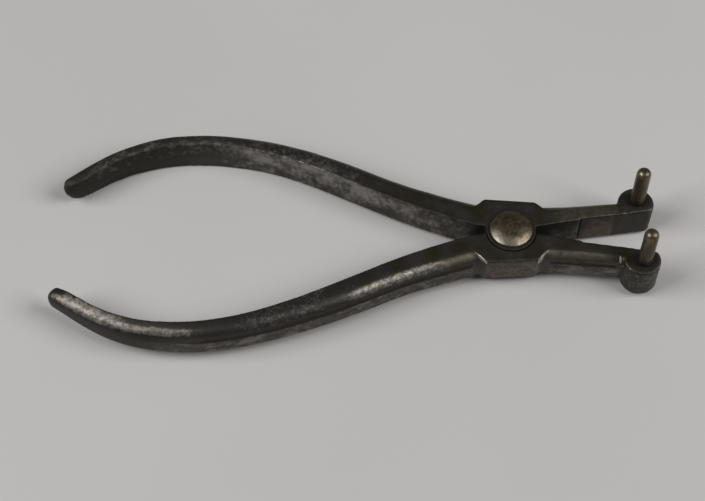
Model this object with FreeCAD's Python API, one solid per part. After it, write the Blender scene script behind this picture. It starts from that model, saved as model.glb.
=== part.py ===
# Hand applicator for umbilical clamps: reverse-action pliers with two upright pins.
# Squeezing the grips spreads the pins, which carry the open clamp.
# Millimetres. The pivot axis is +Z, the jaws point to +X, and Z = 0 is the underside.
# The rear lever lies on the +Y side and the front lever on the -Y side.

import FreeCAD, Part
import math
import os

from FreeCAD import Vector

# Levers
THICK = 12.7            # thickness of the forged levers
LAP_GAP = 0.10          # play between the two lap faces, and under the rivet head
GRIP_SHOULDER_R = 4.5   # rounding of the upper outer edge of a grip
ARM_SHOULDER_R = 3.4    # rounding of the upper outer edge of a jaw arm
LOWER_BEVEL_WIDE = 1.5  # bevel of the lower outer edge, across
LOWER_BEVEL_HIGH = 2.2  # and upwards
GRIP_SET_DEG = 3.95     # the rear grip has sprung inwards by this much in use
GRIP_SET_X = -75.0      # where that bend starts
GRIP_SET_Y = 30.0

# Lap joint and pivot
LUG_R = 8.4             # round lug of each lever
LUG_CLEARANCE = 0.3     # gap between a lug and the pocket that it turns in
SHANK_R = 4.0           # rivet shank
BORE_CLEARANCE = 0.05   # radial running clearance in the rear lug
LUG_SHOWING = 1.1       # width of lug left bare round the rivet head
HEAD_R = LUG_R - LUG_SHOWING
HEAD_RIM = 0.45         # straight rim under the dome
HEAD_RISE = 1.6         # height of the dome above the rim
TAIL_R = 6.0            # countersunk tail, flush with the underside
TAIL_DEPTH = 2.2

# Jaw bosses and pins
BOSS_X = 43.0
BOSS_Y = 11.4
BOSS_R = 6.2
BOSS_RIM = 0.4          # bevelled rims of the boss
BOSS_CORNER_R = 2.4     # rounded corner between the boss and the inner wall
FRONT_REACH = 0.4       # the front jaw is this much longer than the rear one
PIN_X = 43.55
PIN_Y = 12.2
PIN_R = 2.5
PIN_RISE = 17.5         # height of the pin above the boss, dome included
SPIGOT_R = 2.0          # thinner foot of the pin, pressed into the boss
SPIGOT_RECESS = 0.4     # the foot stops this far above the underside

# Grip sections from the joint to the end: inner edge x, y, then outer edge x, y, then
# how far the top and underside come in, and the radius of the outer shoulder.
GRIP_SECTIONS = [
    (-9.0, 1.60, -9.0, 11.7, 0.0, GRIP_SHOULDER_R),
    (-14.8, 2.75, -13.0, 12.4, 0.0, GRIP_SHOULDER_R),
    (-22.0, 5.20, -18.9, 14.2, 0.0, GRIP_SHOULDER_R),
    (-37.6, 11.4, -34.3, 19.5, 0.0, GRIP_SHOULDER_R),
    (-57.0, 20.6, -53.7, 28.2, 0.0, GRIP_SHOULDER_R),
    (-77.0, 29.5, -74.6, 36.2, 0.0, GRIP_SHOULDER_R),
    (-92.5, 34.6, -91.2, 40.8, 0.0, 4.2),
    (-108.0, 36.9, -107.9, 42.7, 0.0, 3.7),
    (-123.7, 35.9, -124.8, 41.0, 0.2, 3.1),
    (-140.0, 29.6, -142.2, 33.9, 0.9, 2.4),
    (-151.6, 22.8, -154.2, 26.6, 1.9, 2.0),
]
GRIP_END_LENGTH = 1.7   # blunt nose beyond the last section
GRIP_END_DRAW = 1.0     # how much the nose narrows on each side
GRIP_END_THICK = 4.2    # thickness left at the very end
GRIP_END_R = 0.9        # outer corner rounding of the nose's face

# Arm sections from the joint to the boss, in the same order as above.
ARM_SECTIONS = [
    (9.0, 2.53, 9.0, 10.7, 0.0, ARM_SHOULDER_R),
    (17.0, 3.66, 17.0, 10.8, 0.0, ARM_SHOULDER_R),
    (30.0, 5.50, 30.0, 11.7, 0.0, 3.0),
    (41.0, 7.05, 41.0, 12.4, 0.0, 2.6),
]
ARM_INNER_START = (24.0, 4.65)   # two points on the arm's inner wall
ARM_INNER_END = (42.4, 7.25)

# Flat-topped shoulder block round the joint, in plan. The rear one is filed lower.
BLOCK_LEFT = (-8.4, 13.4)
BLOCK_RIGHT = (8.5, 12.3)
BLOCK_INNER = [
    (12.1, 8.1),
    (12.1, 2.10),
    (0.0, 0.0),
    (-9.0, 1.60),
    (-12.4, 2.25),
    (-12.4, 9.2),
]
REAR_BLOCK_FILED = 0.7
BLOCK_BEVEL = 0.5       # bevel on the long edges of the block
# Milled pad on the inner wall of the jaw, which ends in a small step
MILLED_PAD = [
    (8.0, 1.38),
    (23.8, 4.23),
    (23.8, 6.5),
    (8.0, 5.0),
]


QUARTER_CIRCLE_WEIGHT = math.sqrt(0.5)  # makes a three-point curve a true quarter circle
LEVEL = 0.01            # edges count as level, upright or in line within this
BELOW = -1.0            # cutting tools run from here, under the levers,
ABOVE = THICK + 1.0     # to here, over them


def prism(points, z_low, z_high):
    """Upright solid over a closed plan outline."""
    corners = [Vector(x, y, z_low) for x, y in points]
    face = Part.Face(Part.makePolygon(corners + corners[:1]))
    return face.extrude(Vector(0, 0, z_high - z_low))


def disc(x, y, radius, z_low, z_high):
    """Upright cylinder."""
    return Part.makeCylinder(radius, z_high - z_low, Vector(x, y, z_low))


def section_wire(inner, outer, z_low, z_high, shoulder_r, bevel_wide, bevel_high):
    """Upright bar section: sharp inner edges, round shoulder, bevelled lower edge."""
    across = Vector(outer[0] - inner[0], outer[1] - inner[1], 0).normalize()
    up = Vector(0, 0, 1)
    inner_low = Vector(inner[0], inner[1], z_low)
    inner_high = Vector(inner[0], inner[1], z_high)
    outer_low = Vector(outer[0], outer[1], z_low)
    outer_high = Vector(outer[0], outer[1], z_high)
    shoulder_start = outer_high - up * shoulder_r
    shoulder_end = outer_high - across * shoulder_r
    shoulder = Part.BezierCurve()
    shoulder.setPoles([shoulder_start, outer_high, shoulder_end])
    shoulder.setWeight(2, QUARTER_CIRCLE_WEIGHT)
    corners = [shoulder_end, inner_high, inner_low, outer_low - across * bevel_wide,
               outer_low + up * bevel_high, shoulder_start]
    edges = [Part.LineSegment(start, end).toShape() for start, end in zip(corners, corners[1:])]
    edges.append(shoulder.toShape())
    return Part.Wire(edges)


def bar(sections):
    """Smooth bar through a row of sections."""
    wires = []
    for x_in, y_in, x_out, y_out, draw, shoulder_r in sections:
        wires.append(section_wire((x_in, y_in), (x_out, y_out), draw, THICK - draw,
                                  shoulder_r, LOWER_BEVEL_WIDE, LOWER_BEVEL_HIGH))
    return Part.makeLoft(wires, True, False)


def turned(point, centre, angle_deg):
    """Plan point turned about a centre."""
    angle = math.radians(angle_deg)
    dx = point[0] - centre[0]
    dy = point[1] - centre[1]
    return (centre[0] + dx * math.cos(angle) - dy * math.sin(angle),
            centre[1] + dx * math.sin(angle) + dy * math.cos(angle))


def sprung(sections):
    """The same grip after it has been bent inwards beyond GRIP_SET_X."""
    centre = (GRIP_SET_X, GRIP_SET_Y)
    bent = []
    for x_in, y_in, x_out, y_out, draw, shoulder_r in sections:
        if x_in < GRIP_SET_X:
            x_in, y_in = turned((x_in, y_in), centre, GRIP_SET_DEG)
            x_out, y_out = turned((x_out, y_out), centre, GRIP_SET_DEG)
        bent.append((x_in, y_in, x_out, y_out, draw, shoulder_r))
    return bent


def blunt_end(last):
    """Short nose that closes a grip, thinner and narrower at its face."""
    x_in, y_in, x_out, y_out, draw, shoulder_r = last
    across = Vector(x_out - x_in, y_out - y_in, 0).normalize()
    along = Vector(-across.y, across.x, 0)
    if along.x > 0:
        along = -along
    inner = Vector(x_in, y_in, 0) + along * GRIP_END_LENGTH + across * GRIP_END_DRAW
    outer = Vector(x_out, y_out, 0) + along * GRIP_END_LENGTH - across * GRIP_END_DRAW
    start = section_wire((x_in, y_in), (x_out, y_out), draw, THICK - draw,
                         shoulder_r, LOWER_BEVEL_WIDE, LOWER_BEVEL_HIGH)
    end = section_wire((inner.x, inner.y), (outer.x, outer.y), (THICK - GRIP_END_THICK) / 2,
                       (THICK + GRIP_END_THICK) / 2, GRIP_END_R, GRIP_END_R / 2, GRIP_END_R / 2)
    return Part.makeLoft([start, end], True, True)


def inner_wall_y(x):
    """Height of the arm's inner wall in plan."""
    slope = (ARM_INNER_END[1] - ARM_INNER_START[1]) / (ARM_INNER_END[0] - ARM_INNER_START[0])
    return ARM_INNER_START[1] + slope * (x - ARM_INNER_START[0])


def jaw_boss(boss_x):
    """Round boss at the tip, cut flush with the arm's inner wall."""
    round_boss = disc(boss_x, BOSS_Y, BOSS_R, 0, THICK)
    x_low = boss_x - 2 * BOSS_R
    x_high = boss_x + 2 * BOSS_R
    y_high = BOSS_Y + 2 * BOSS_R
    keep = prism([(x_low, inner_wall_y(x_low)), (x_high, inner_wall_y(x_high)),
                  (x_high, y_high), (x_low, y_high)], 0, THICK)
    boss = round_boss.common(keep)
    tip_edges = [edge for edge in boss.Edges
                 if abs(edge.BoundBox.ZLength - THICK) < LEVEL
                 and edge.BoundBox.XMin > boss_x + BOSS_R / 3
                 and edge.BoundBox.YMax < BOSS_Y]
    boss = boss.makeFillet(BOSS_CORNER_R, tip_edges)
    rims = [edge for edge in boss.Edges
            if edge.BoundBox.ZLength < LEVEL and edge.BoundBox.YMax > BOSS_Y + 2]
    return boss.makeChamfer(BOSS_RIM, rims)


def shoulder_block(filed):
    """Shoulder block with its outer wall filed down by the given depth."""
    left = (BLOCK_LEFT[0], BLOCK_LEFT[1] - filed)
    right = (BLOCK_RIGHT[0], BLOCK_RIGHT[1] - filed)
    block = prism([left, right] + BLOCK_INNER, 0, THICK)
    long_edges = [edge for edge in block.Edges
                  if edge.BoundBox.ZLength < LEVEL and edge.BoundBox.YMin > right[1] - LEVEL]
    return block.makeChamfer(BLOCK_BEVEL, long_edges)


def lever(sections, filed, reach):
    """One lever on the +Y side, before its lug and pocket are formed."""
    body = shoulder_block(filed)
    pieces = [bar(sections), blunt_end(sections[-1]), bar(ARM_SECTIONS),
              prism(MILLED_PAD, 0, THICK), jaw_boss(BOSS_X + reach)]
    for piece in pieces:
        body = body.fuse(piece)
    body = body.removeSplitter()
    return body.cut(disc(PIN_X + reach, PIN_Y, SPIGOT_R, BELOW, ABOVE))


lap_z = THICK / 2       # height of the joint face between the two lugs

# Rear lever: its lug is the upper half of the thickness.
lever_rear = lever(sprung(GRIP_SECTIONS), REAR_BLOCK_FILED, 0)
lever_rear = lever_rear.cut(disc(0, 0, LUG_R + LUG_CLEARANCE, BELOW, lap_z + LAP_GAP / 2))
lever_rear = lever_rear.fuse(disc(0, 0, LUG_R, lap_z + LAP_GAP / 2, THICK)).removeSplitter()
lever_rear = lever_rear.cut(disc(0, 0, SHANK_R + BORE_CLEARANCE, BELOW, ABOVE))

# Front lever: the same forging on the -Y side, with its lug in the lower half.
lever_front = lever(GRIP_SECTIONS, 0, FRONT_REACH).mirror(Vector(0, 0, 0), Vector(0, 1, 0))
lever_front = lever_front.cut(disc(0, 0, LUG_R + LUG_CLEARANCE, lap_z - LAP_GAP / 2, ABOVE))
lever_front = lever_front.fuse(disc(0, 0, LUG_R, 0, lap_z - LAP_GAP / 2)).removeSplitter()
countersink = Part.makeCone(TAIL_R, SHANK_R, TAIL_DEPTH)
lever_front = lever_front.cut(disc(0, 0, SHANK_R, BELOW, ABOVE)).cut(countersink)

# Rivet: low domed head, plain shank and a countersunk tail.
head_z = THICK + LAP_GAP
rim_z = head_z + HEAD_RIM
crown_z = rim_z + HEAD_RISE
dome_r = (HEAD_R ** 2 + HEAD_RISE ** 2) / (2 * HEAD_RISE)
mid_angle = 0.5 * math.asin(HEAD_R / dome_r)
dome_mid = Vector(dome_r * math.sin(mid_angle), 0, crown_z - dome_r * (1 - math.cos(mid_angle)))
profile = [Part.Arc(Vector(0, 0, crown_z), dome_mid, Vector(HEAD_R, 0, rim_z)).toShape()]
turns = [Vector(HEAD_R, 0, rim_z), Vector(HEAD_R, 0, head_z), Vector(SHANK_R, 0, head_z),
         Vector(SHANK_R, 0, TAIL_DEPTH), Vector(TAIL_R, 0, 0), Vector(0, 0, 0),
         Vector(0, 0, crown_z)]
for start, end in zip(turns, turns[1:]):
    profile.append(Part.LineSegment(start, end).toShape())
pivot_rivet = Part.Face(Part.Wire(profile)).revolve(Vector(0, 0, 0), Vector(0, 0, 1), 360)


def round_ended_pin(x, y):
    """Upright pin with a hemispherical top, seated on its boss and held by a pressed-in foot."""
    centre_z = THICK + PIN_RISE - PIN_R
    spigot = disc(x, y, SPIGOT_R, SPIGOT_RECESS, THICK)
    stem = disc(x, y, PIN_R, THICK, centre_z)
    ball = Part.makeSphere(PIN_R, Vector(x, y, centre_z))
    return stem.fuse(ball).fuse(spigot).removeSplitter()


nodes = {
    "lever_rear": lever_rear,
    "lever_front": lever_front,
    "pivot_rivet": pivot_rivet,
    "pin_rear": round_ended_pin(PIN_X, PIN_Y),
    "pin_front": round_ended_pin(PIN_X + FRONT_REACH, -PIN_Y),
}

os.makedirs("parts", exist_ok=True)
for name, shape in nodes.items():
    print(name, shape.ShapeType, "solids", len(shape.Solids), "valid", shape.isValid(),
          "volume", round(shape.Volume, 1))
    shape.exportStep("parts/" + name + ".step")
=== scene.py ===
# %% [markdown]
# This file dresses a hand applicator for umbilical clamps: pliers of dark forged steel,
# whose two upright pins carry the open clamp. The working shape, the sizes and the
# pivot come ready made, as a frame of five nodes that are already in their real place.
# What is left to make here is what years of use have done to the tool: softened
# edges, a hammered rivet, a brown-black patina, and bright metal where hands rub it.
# Blender works in metres, so a length that goes to it is written in millimetres times
# MM. Places on the tool stay in millimetres. +Z is up, and the jaws point to +X.

# %% Load the frame
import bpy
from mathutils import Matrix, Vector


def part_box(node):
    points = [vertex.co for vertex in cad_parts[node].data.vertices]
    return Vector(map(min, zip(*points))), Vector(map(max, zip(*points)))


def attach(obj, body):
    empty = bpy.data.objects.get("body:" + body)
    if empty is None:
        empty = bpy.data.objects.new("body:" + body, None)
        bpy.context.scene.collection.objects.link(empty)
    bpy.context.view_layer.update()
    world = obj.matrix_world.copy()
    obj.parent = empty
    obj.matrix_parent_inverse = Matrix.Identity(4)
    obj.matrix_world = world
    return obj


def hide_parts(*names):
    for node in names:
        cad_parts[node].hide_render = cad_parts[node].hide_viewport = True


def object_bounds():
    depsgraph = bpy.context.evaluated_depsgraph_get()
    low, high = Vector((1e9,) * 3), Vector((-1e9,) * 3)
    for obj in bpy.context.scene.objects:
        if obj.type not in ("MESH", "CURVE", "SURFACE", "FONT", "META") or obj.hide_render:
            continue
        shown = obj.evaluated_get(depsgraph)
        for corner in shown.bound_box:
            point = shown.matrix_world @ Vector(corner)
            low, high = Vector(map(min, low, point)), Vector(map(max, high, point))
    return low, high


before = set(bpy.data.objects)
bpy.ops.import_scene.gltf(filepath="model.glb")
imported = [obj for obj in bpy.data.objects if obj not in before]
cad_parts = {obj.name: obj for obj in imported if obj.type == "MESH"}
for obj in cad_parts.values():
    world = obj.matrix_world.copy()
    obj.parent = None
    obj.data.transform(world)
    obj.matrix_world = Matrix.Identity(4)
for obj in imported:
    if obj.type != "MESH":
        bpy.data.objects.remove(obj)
cad_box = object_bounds()

MM = 0.001


def in_mm(lengths):
    """Lengths in millimetres, rounded to be printed."""
    return [round(float(length) / MM, 1) for length in lengths]


for name in sorted(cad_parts):
    low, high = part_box(name)
    print(name, "from", in_mm(low), "to", in_mm(high))

# %% [markdown]
# The picture that this scene answers to was taken from a copy stand, almost upright
# over the table, with a long lens. The camera therefore stands at 57 degrees above
# the table and about half a metre away, where the pins lean only a little with
# perspective. A camera can be set by its position, but here it is easier to say what
# it aims at and from how far, because those are the things a photographer measures.

# %% Camera
import bpy
import math
import numpy as np
from mathutils import Vector
from types import SimpleNamespace

CAMERA_AIM = Vector((-53.55, -0.74, 0.0)) * MM
CAMERA_DISTANCE = 551.05 * MM
CAMERA_ELEVATION = math.radians(57.03)
CAMERA_TURN = math.radians(0.545)
LENS_MM = 81.78
SENSOR_MM = 36.0

camera_data = bpy.data.cameras.new("camera")
camera_data.sensor_width = SENSOR_MM
camera_data.lens = LENS_MM
camera = bpy.data.objects.new("camera", camera_data)
tilt = math.radians(90) - CAMERA_ELEVATION
camera.rotation_euler = (tilt, 0.0, CAMERA_TURN)
camera.location = CAMERA_AIM + camera.rotation_euler.to_matrix() @ Vector((0, 0, CAMERA_DISTANCE))
bpy.context.scene.collection.objects.link(camera)
bpy.context.scene.camera = camera
print("camera at", in_mm(camera.location), "mm")

# %% [markdown]
# Shader maths reads best as plain expressions. A small class wraps one socket of a
# node and gives it the usual operators, so that "1 - mask" or "a * b" adds the Math
# node by itself. Colours go through Mix nodes instead, because a Math node would turn
# them grey. One function makes every other kind of node from its settings and inputs.

# %% A small language for materials
MIXED_COLOUR = 2             # places of the sockets that are asked for by number
STORED_NUMBER = 2
OBJECT_PLACE = 3


class Value:
    """One output socket, with operators that add Math nodes."""

    def __init__(self, tree, socket):
        self.tree = tree
        self.socket = socket

    def maths(self, operation, first, second):
        return node(self.tree, "ShaderNodeMath", {"operation": operation}, first, second)

    def __add__(self, other):
        return self.maths("ADD", self, other)

    def __radd__(self, other):
        return self + other

    def __mul__(self, other):
        return self.maths("MULTIPLY", self, other)

    def __rmul__(self, other):
        return self * other

    def __sub__(self, other):
        return self.maths("SUBTRACT", self, other)

    def __rsub__(self, other):
        return self.maths("SUBTRACT", other, self)

    def most(self, other):
        """The larger of two values."""
        return self.maths("MAXIMUM", self, other)

    def between(self, low, high):
        """A soft step from 0 at low to 1 at high."""
        step = {"interpolation_type": "SMOOTHSTEP"}
        return node(self.tree, "ShaderNodeMapRange", step, self, low, high, 0.0, 1.0)


def node(tree, kind, settings, *inputs, output=0):
    """Add one node: settings first, then its inputs in order. None leaves an input alone."""
    made = tree.nodes.new(kind)
    for key, value in settings.items():
        setattr(made, key, value)
    for slot, value in zip(made.inputs, inputs):
        if isinstance(value, Value):
            tree.links.new(value.socket, slot)
        elif value is not None:
            slot.default_value = value
    return Value(tree, made.outputs[output])


def blend_colours(tree, factor, first, second):
    """Blend two colours by a factor. A Mix node keeps its colour sockets at 6 and 7."""
    unused = [None] * 5
    mix = {"data_type": "RGBA"}
    return node(tree, "ShaderNodeMix", mix, factor, *unused, first, second, output=MIXED_COLOUR)


def layered(tree, colour, *layers):
    """Lay colours over a first one, like coats of paint; each comes after its own cover."""
    for cover, coat in layers:
        colour = blend_colours(tree, cover, colour, coat)
    return colour


def noise(tree, place, feature, detail=3.0, roughness=0.5):
    """Cloudy pattern whose lumps are about one feature wide, from about 0.2 to 0.8."""
    return node(tree, "ShaderNodeTexNoise", {}, place, None, 1.0 / feature, detail, roughness)


def painted(tree, name):
    """A number stored on the mesh, point by point."""
    return node(tree, "ShaderNodeAttribute", {"attribute_name": name}, output=STORED_NUMBER)


def new_material(name):
    """An empty material with its shader and object coordinates."""
    material = bpy.data.materials.new(name)
    material.use_nodes = True
    tree = material.node_tree
    shader = tree.nodes["Principled BSDF"]
    place = node(tree, "ShaderNodeTexCoord", {}, output=OBJECT_PLACE)
    return material, tree, shader, place


def feed(tree, shader, **values):
    """Link values to the shader's inputs; underscores stand for spaces."""
    for key, value in values.items():
        slot = shader.inputs[key.replace("_", " ")]
        if isinstance(value, Value):
            tree.links.new(value.socket, slot)
        else:
            slot.default_value = value


print("material helpers ready")

# %% [markdown]
# The table is a sheet of pale grey paper, larger than the view, so that it fills the
# picture and also catches the shadows from the other sides. It is one flat face: the
# paper's tooth is finer than a pixel, so a faint change of tone is all that it needs.
# In the picture the front lever has a wide soft shadow under it and the rear lever has
# almost none: the tool rests on its rear side. The tool stays level in its frame, so
# here the paper leans by two degrees instead, about a line under the rear grip.

# %% Table
TABLE_SIZE = 5.0
TABLE_DROP = 0.02 * MM
TABLE_LEAN = math.radians(2.2)
TABLE_HINGE_Y = cad_box[1][1]
PAPER_CLOUD = 180 * MM
PAPER_TOOTH = 0.8 * MM
PAPER_TONE = (0.480, 0.470, 0.456, 1.0)
PAPER_DUSK = (0.460, 0.449, 0.438, 1.0)

bpy.ops.object.select_all(action="DESELECT")
bpy.ops.mesh.primitive_plane_add(size=TABLE_SIZE, location=(0, TABLE_HINGE_Y, -TABLE_DROP),
                                 rotation=(TABLE_LEAN, 0, 0))
table = bpy.context.object
table.name = "table"
bpy.ops.object.transform_apply(location=True, rotation=True, scale=True)
paper, tree, shader, place = new_material("pale_paper")
cloud = noise(tree, place, PAPER_CLOUD, detail=2.0)
grain = noise(tree, place, PAPER_TOOTH, detail=2.0)
tone = blend_colours(tree, cloud.between(0.3, 0.7), PAPER_TONE, PAPER_DUSK)
feed(tree, shader, Base_Color=tone, Roughness=0.8 + 0.1 * grain)
feed(tree, shader, Specular_IOR_Level=0.2)
table.data.materials.append(paper)
print("table top at", -TABLE_DROP, "m")

# %% [markdown]
# A copy stand has one soft lamp on each side, and the room around it is dim. The two
# lamps draw the pair of bright spots on each pin and on the rivet, and the dim room is
# why the flat tops of the steel look nearly black. The shadows say where the lamps are:
# the paper is bright right up to the walls that face the viewer, and dimmer behind the
# levers, so both lamps stand somewhat to the front. Each lamp is a square area light
# that faces the pivot, and the world is one plain dim grey.

# %% Lamps and surroundings
LAMP_REACH = 2.0
LAMP_SIZE = 1.1
LAMP_POWER = 27.3
LAMP_ELEVATION = math.radians(43)
LAMP_FORWARD = math.radians(16)
LAMP_TARGET = Vector((-0.03, 0.05, 0.0))
ROOM_GREY = (0.135, 0.135, 0.137, 1.0)

for name, side in (("lamp_left", -1), ("lamp_right", 1)):
    lamp_data = bpy.data.lights.new(name, "AREA")
    lamp_data.size = LAMP_SIZE
    lamp_data.energy = LAMP_POWER
    lamp = bpy.data.objects.new(name, lamp_data)
    out = Vector((side * math.cos(LAMP_FORWARD), -math.sin(LAMP_FORWARD), 0.0))
    direction = out * math.cos(LAMP_ELEVATION) + Vector((0, 0, math.sin(LAMP_ELEVATION)))
    lamp.location = LAMP_TARGET + direction * LAMP_REACH
    lamp.rotation_euler = direction.to_track_quat("Z", "Y").to_euler()
    bpy.context.scene.collection.objects.link(lamp)
    print(name, "at", in_mm(lamp.location), "mm")

world = bpy.data.worlds.new("room")
world.use_nodes = True
bpy.context.scene.world = world
world.node_tree.nodes["Background"].inputs["Color"].default_value = ROOM_GREY
bpy.context.scene.view_settings.view_transform = "Standard"

# %% [markdown]
# Everything from here on is modelling by hand, so a few habits are worth a name.
# An operator acts on all that is selected, so each step starts by selecting one piece
# alone. A modifier that has done its work is applied, so that the mesh that is kept
# is the mesh that is seen. The frame's own nodes are never touched: a copy is made, and
# its loose triangles are merged into one skin before anything else.

# %% Modelling habits
MERGE = 0.001 * MM
SMOOTHING = 0.5              # one step moves a point this share of the way to its neighbours
GROUP_LEVELS = 48            # the weights of a vertex group come in this many even steps
LUMP_DETAIL = 2


def only(piece):
    """Select one piece and nothing else."""
    bpy.ops.object.select_all(action="DESELECT")
    piece.select_set(True)
    bpy.context.view_layer.objects.active = piece


def finish_with(piece, kind, **settings):
    """Add a modifier, set it and apply it."""
    only(piece)
    modifier = piece.modifiers.new(kind.lower(), kind)
    for key, value in settings.items():
        setattr(modifier, key, value)
    bpy.ops.object.modifier_apply(modifier=modifier.name)


def merged_copy(node_name, name):
    """A copy of one node of the frame, with its triangles merged into one skin."""
    piece = bpy.data.objects.new(name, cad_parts[node_name].data.copy())
    piece.data.name = name
    bpy.context.scene.collection.objects.link(piece)
    piece.data.materials.clear()
    only(piece)
    bpy.ops.object.mode_set(mode="EDIT")
    bpy.ops.mesh.select_all(action="SELECT")
    bpy.ops.mesh.remove_doubles(threshold=MERGE)
    bpy.ops.object.mode_set(mode="OBJECT")
    return piece


def points_and_normals(piece):
    """The mesh's points in millimetres, and their unit normals, as two arrays."""
    mesh = piece.data
    points = np.empty(3 * len(mesh.vertices), np.float32)
    normals = np.empty(3 * len(mesh.vertices), np.float32)
    mesh.vertices.foreach_get("co", points)
    mesh.vertex_normals.foreach_get("vector", normals)
    return points.reshape(-1, 3) / MM, normals.reshape(-1, 3)


def ramp(value, low, high):
    """Soft step for arrays, from 0 at low to 1 at high, in either direction."""
    share = np.clip((value - low) / (high - low), 0.0, 1.0)
    return share * share * (3.0 - 2.0 * share)


def weigh(piece, name, weights):
    """Store weights from 0 to 1 as a vertex group, in a few even levels."""
    group = piece.vertex_groups.new(name=name)
    levels = np.round(np.clip(weights, 0.0, 1.0) * GROUP_LEVELS).astype(int)
    for level in range(1, GROUP_LEVELS + 1):
        chosen = np.nonzero(levels == level)[0].tolist()
        if chosen:
            group.add(chosen, level / GROUP_LEVELS, "REPLACE")


def smooth(piece, steps, group=""):
    """Round a piece by a number of smoothing steps, everywhere or by a vertex group."""
    finish_with(piece, "SMOOTH", factor=SMOOTHING, iterations=steps, vertex_group=group)


def paint(piece, name, values):
    """Store one number per point, for the material to read."""
    layer = piece.data.attributes.new(name, "FLOAT", "POINT")
    layer.data.foreach_set("value", np.clip(values, 0.0, 1.0).astype(np.float32))


def lumps(name, feature):
    """A cloudy texture for the Displace modifier."""
    texture = bpy.data.textures.new(name, "CLOUDS")
    texture.noise_scale = feature
    texture.noise_depth = LUMP_DETAIL
    return texture


def press(piece, group, strength, texture=None, middle=0.5):
    """Push the points of a group out, or in with a negative strength."""
    texture_settings = {"texture": texture, "texture_coords": "LOCAL"} if texture else {}
    finish_with(piece, "DISPLACE", vertex_group=group, strength=strength, mid_level=middle,
                direction="NORMAL", **texture_settings)


print("modelling helpers ready")

# %% [markdown]
# The two levers are drop forgings, ground by hand and then carried in a pocket for
# years. Nothing on them is quite straight, every edge has a small soft round, and the
# two halves of the die have left a ridge along the middle of the outer side, where the
# flash was trimmed. Bevelling each edge of such a blend of surfaces would be slow and
# would leave pinched corners. A voxel remesh gives the copy an even skin instead, and
# a Smooth modifier then rounds every edge by about half a millimetre, as wear does.
# The grid of voxels would leave long steps on a wall that runs almost along an axis, as
# the jaws do. So the copy is turned by 40 degrees for the remesh, and back again after.

# %% Soft skin for the levers
SKIN_VOXEL = 0.36 * MM
SKIN_TURN = math.radians(40)
EDGE_WEAR_STEPS = 3
LEVERS = {"lever_rear": 1.0, "lever_front": -1.0}    # which side of the pivot, along Y
forgings = {}


def turn_about_pivot(piece, angle):
    """Turn a piece about the upright axis of the pivot, in its mesh."""
    only(piece)
    piece.rotation_euler.z = angle
    bpy.ops.object.transform_apply(location=False, rotation=True, scale=False)


for node_name, side in LEVERS.items():
    piece = merged_copy(node_name, node_name + "_forging")
    turn_about_pivot(piece, side * SKIN_TURN)
    finish_with(piece, "REMESH", mode="VOXEL", voxel_size=SKIN_VOXEL, use_smooth_shade=True)
    turn_about_pivot(piece, -side * SKIN_TURN)
    smooth(piece, EDGE_WEAR_STEPS)
    forgings[node_name] = piece
    print(piece.name, len(piece.data.vertices), "points")

# %% [markdown]
# A place on a lever is named by where its points are, in millimetres, and by where they
# face. Two leans say that: up is 1 on a top and -1 on an underside, and outward is 1 on
# a wall that looks away from the other lever and -1 on one that looks at it. A limit is
# always soft, so it is written as a pair: nothing before the first number, all from the
# second one on. A stretch along the tool has a border as its third number.

# %% Naming a place on a lever
BOSS_START = 36.0            # the round boss at the tip of a jaw starts here
BLOCK_HALF = 12.5            # the block round the pivot reaches this far along X
BLOCK_OUTSIDE = 10.0         # and its outer side starts this far from the pivot, along Y
INNER_WALL = (-0.5, -0.85)


def strip(value, low, high, border):
    """1 between low and high, falling to 0 over a soft border outside."""
    return ramp(value, low - border, low) * ramp(value, high + border, high)


class Skin:
    """Where each point of a lever is, in millimetres, and which way it faces."""

    def __init__(self, node_name):
        side = LEVERS[node_name]
        self.name = node_name
        self.rear = side > 0
        self.piece = forgings[node_name]
        self.points, self.normals = points_and_normals(self.piece)
        self.x, self.y, self.z = self.points.T
        self.up = self.normals[:, 2]
        self.outward = side * self.normals[:, 1]
        self.off_middle = side * self.y
        self.from_pivot = np.hypot(self.x, self.y)
        self.inner = ramp(self.outward, *INNER_WALL)

    def either(self, rear, front):
        """The first value on the rear lever, the second on the front lever."""
        return rear if self.rear else front


print("boss from", BOSS_START, "mm, block", 2 * BLOCK_HALF, "mm long")

# %% [markdown]
# Some edges are rounder than the rest. Towards the end of each grip the palm and the
# pocket have worn the upper edge that can be seen into one long curve: on the rear
# lever that is the inner edge, on the front lever the whole top with its outer shoulder.
# The block round the pivot, the blunt noses and one corner of each nose are soft too.
# The same Smooth modifier does all this, held back to those places by a vertex group.
# Even a low weight smooths a lot over so many steps, so some limits are raised to a
# power, which keeps them low for longer.

# %% Rounder edges
GRIP_WORN_FROM = -84.0       # the long wear starts here
PALM_WORN_FROM = -98.0       # and here, on the front lever, that of the whole top
WORN_RUN = 20.0              # each is complete this much further on
WORN_HEIGHT = (4.0, 7.0)
NOSE_START = -151.0
NOSE_RUN = 3.0
CORNER_REACH = 8.0
BLOCK_WORN_ALONG = (BLOCK_HALF + 0.5, BLOCK_HALF - 1.0)
BLOCK_WORN_OUT = (BLOCK_OUTSIDE, BLOCK_OUTSIDE + 1.0)
BLOCK_WORN_HEIGHT = (9.0, 6.0)
WORN_STEPS = 170
REAR_ROUNDING = SimpleNamespace(worn_lean=(0.5, 0.1), nose_spared=(-153.0, -143.0), spared_power=3,
                                nose_steps=34, corner_way=(-0.32, -0.95), corner_steps=170, palm_steps=0)
FRONT_ROUNDING = SimpleNamespace(worn_lean=(-0.4, 0.0), nose_spared=(-157.0, -145.0), spared_power=2,
                                 nose_steps=7, corner_way=(-0.97, -0.26), corner_steps=90, palm_steps=260)

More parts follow.
